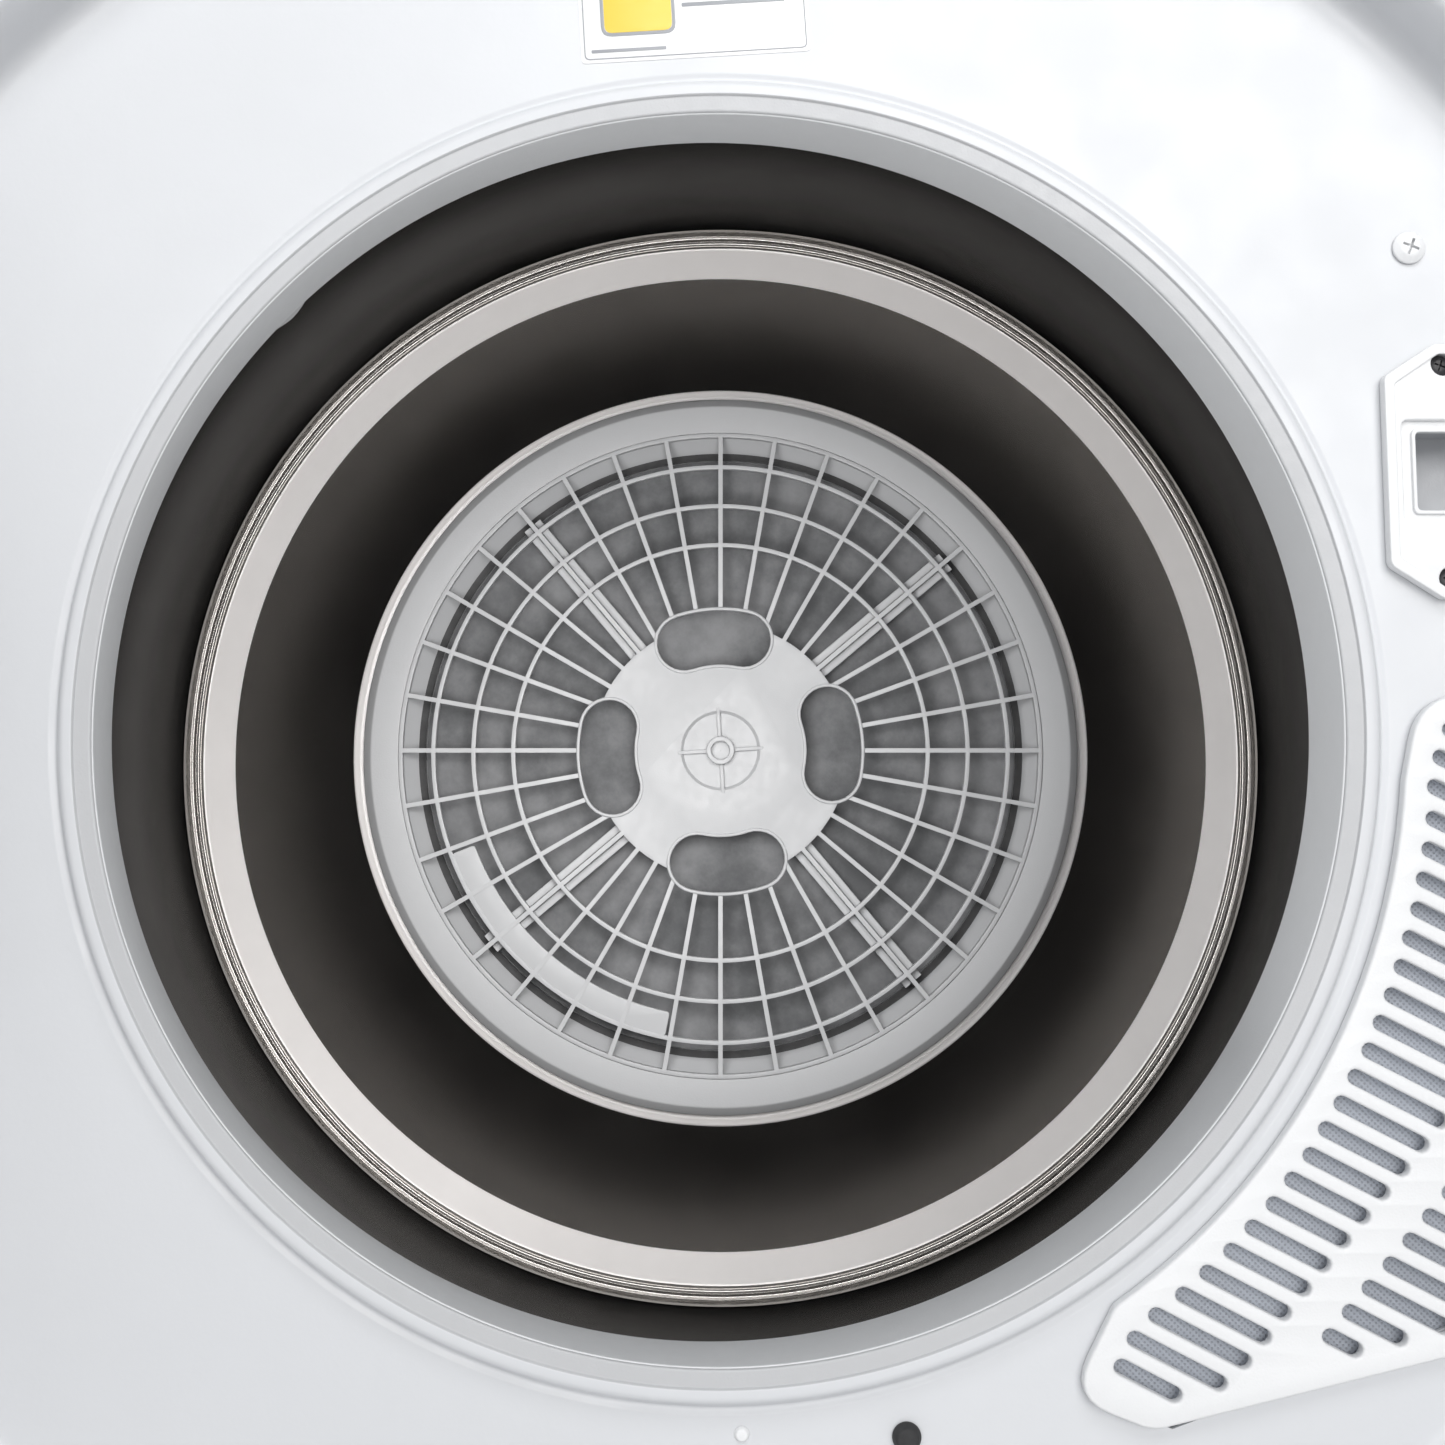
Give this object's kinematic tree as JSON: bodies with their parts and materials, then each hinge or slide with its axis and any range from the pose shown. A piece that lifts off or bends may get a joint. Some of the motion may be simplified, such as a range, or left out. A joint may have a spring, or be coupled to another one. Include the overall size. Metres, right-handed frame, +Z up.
{
  "type": "clothes dryer",
  "caption": "Front-loading vented clothes dryer with a round hinged door, steel drum, rear lint filter, belt drive, blower and rear exhaust.",
  "frame": {"origin": "middle of the base pan's underside, below the drum's axis", "axes": "+Z up towards the worktop, -Y out of the door opening towards the user, +X to the user's right when facing the machine"},
  "size_m": [0.7055, 1.0833, 0.845],
  "materials": {
    "white_enamel": "smooth white enamel",
    "white_laminate": "white laminated board",
    "white_plastic": "satin white moulding",
    "grey_plastic": "satin grey moulding",
    "pale_grey_plastic": "satin pale grey moulding",
    "filter_cloth": "fine woven filter cloth",
    "stainless": "polished stainless steel",
    "zinc": "galvanised sheet steel",
    "bright_steel": "bright plated steel",
    "black_rubber": "matt black rubber",
    "dark_plastic": "black moulding",
    "felt": "dense grey felt",
    "silver_plastic": "silver lacquer",
    "smoked_glass": "tinted toughened glass",
    "circuit_board": "lacquered board",
    "heater_metal": "dull finned metal",
    "screen_metal": "blue-grey perforated screen"
  },
  "bodies": {
    "cabinet": {"base_pan": "zinc", "side_panel_left": "white_enamel", "side_panel_right": "white_enamel", "rear_panel": "zinc", "worktop": "white_laminate", "kick_panel": "white_enamel", "levelling_foot_1": "black_rubber", "levelling_foot_2": "black_rubber", "levelling_foot_3": "black_rubber", "levelling_foot_4": "black_rubber", "front_panel": "white_enamel", "mouth_collar": "pale_grey_plastic", "front_bulkhead": "zinc", "drum_felt": "felt", "vent_grille": "white_plastic", "vent_screen": "screen_metal", "heater_element": "heater_metal", "latch_plate": "white_plastic", "latch_housing": "dark_plastic", "panel_screw": "bright_steel", "door_buffer": "black_rubber", "control_fascia": "white_plastic", "control_board": "circuit_board", "air_chamber": "zinc", "shaft_bearing": "bright_steel", "blower_housing": "zinc", "exhaust_duct": "zinc", "motor_can": "dark_plastic", "motor_cradle": "zinc", "drive_belt": "black_rubber", "idler_bracket": "zinc", "cord_gland": "dark_plastic", "hinge_plate": "bright_steel", "hinge_pin": "bright_steel"},
    "drum": {"drum_shell": "stainless", "drum_rear_wall": "stainless", "drum_lifter_1": "pale_grey_plastic", "drum_lifter_2": "pale_grey_plastic", "drum_lifter_3": "pale_grey_plastic", "filter_tray": "grey_plastic", "filter_mesh": "filter_cloth", "drum_spider": "bright_steel", "drum_shaft": "bright_steel"},
    "filter_cover": {"filter_grille": "grey_plastic"},
    "rotor": {"motor_shaft": "bright_steel", "blower_wheel": "pale_grey_plastic"},
    "tension_lever": {"idler_arm": "bright_steel"},
    "tension_wheel": {"idler_pulley": "pale_grey_plastic"},
    "left_roller": {"drum_roller_left": "black_rubber"},
    "right_roller": {"drum_roller_right": "black_rubber"},
    "timer_knob": {"timer_dial": "silver_plastic"},
    "heat_knob": {"heat_dial": "silver_plastic"},
    "start_key": {"start_button": "silver_plastic"},
    "door": {"door_frame": "white_plastic", "door_liner": "white_plastic", "door_window": "smoked_glass", "door_seal": "black_rubber", "door_hook": "bright_steel", "door_handle": "silver_plastic", "hinge_leaf": "bright_steel"}
  },
  "joints": [
    {"name": "door_hinge", "type": "hinge", "parent": "cabinet", "child": "door", "pos_m": [-0.2555, -0.29, 0.425], "axis": [0, 0, 1], "range_deg": [0, 105]},
    {"name": "drum_spin", "type": "hinge", "parent": "cabinet", "child": "drum", "pos_m": [0, 0, 0.425], "axis": [0, 1, 0], "continuous": true},
    {"name": "motor_spin", "type": "hinge", "parent": "cabinet", "child": "rotor", "pos_m": [0.2, 0, 0.095], "axis": [0, 1, 0], "continuous": true},
    {"name": "left_roller_spin", "type": "hinge", "parent": "cabinet", "child": "left_roller", "pos_m": [-0.14624, -0.217, 0.14996], "axis": [0, 1, 0], "continuous": true},
    {"name": "right_roller_spin", "type": "hinge", "parent": "cabinet", "child": "right_roller", "pos_m": [0.14624, -0.217, 0.14996], "axis": [0, 1, 0], "continuous": true},
    {"name": "belt_tension", "type": "hinge", "parent": "cabinet", "child": "tension_lever", "pos_m": [0.075, -0.045, 0.045], "axis": [0, 1, 0], "range_deg": [0, 5], "stiffness_Nm_per_rad": 2, "springref_deg": -17.19},
    {"name": "idler_spin", "type": "hinge", "parent": "tension_lever", "child": "tension_wheel", "pos_m": [0.11419, -0.045, 0.08416], "axis": [0, 1, 0], "continuous": true},
    {"name": "filter_turn", "type": "hinge", "parent": "drum", "child": "filter_cover", "pos_m": [0, 0.13, 0.425], "axis": [0, 1, 0], "range_deg": [-20, 0]},
    {"name": "timer_turn", "type": "hinge", "parent": "cabinet", "child": "timer_knob", "pos_m": [0.1071, -0.29, 0.7585], "axis": [0, 1, 0], "range_deg": [0, 330]},
    {"name": "heat_turn", "type": "hinge", "parent": "cabinet", "child": "heat_knob", "pos_m": [0, -0.29, 0.7585], "axis": [0, 1, 0], "range_deg": [-45, 45]},
    {"name": "start_press", "type": "slide", "parent": "cabinet", "child": "start_key", "axis": [0, 1, 0], "range_m": [0, 0.0028], "stiffness_N_per_m": 300, "springref_m": -0.002}
  ],
  "couplings": [
    {"joint": "motor_spin", "follows": "drum_spin", "ratio": 23.825},
    {"joint": "left_roller_spin", "follows": "drum_spin", "ratio": -11.44},
    {"joint": "right_roller_spin", "follows": "drum_spin", "ratio": -11.44},
    {"joint": "idler_spin", "follows": "drum_spin", "ratio": -17.219}
  ]
}
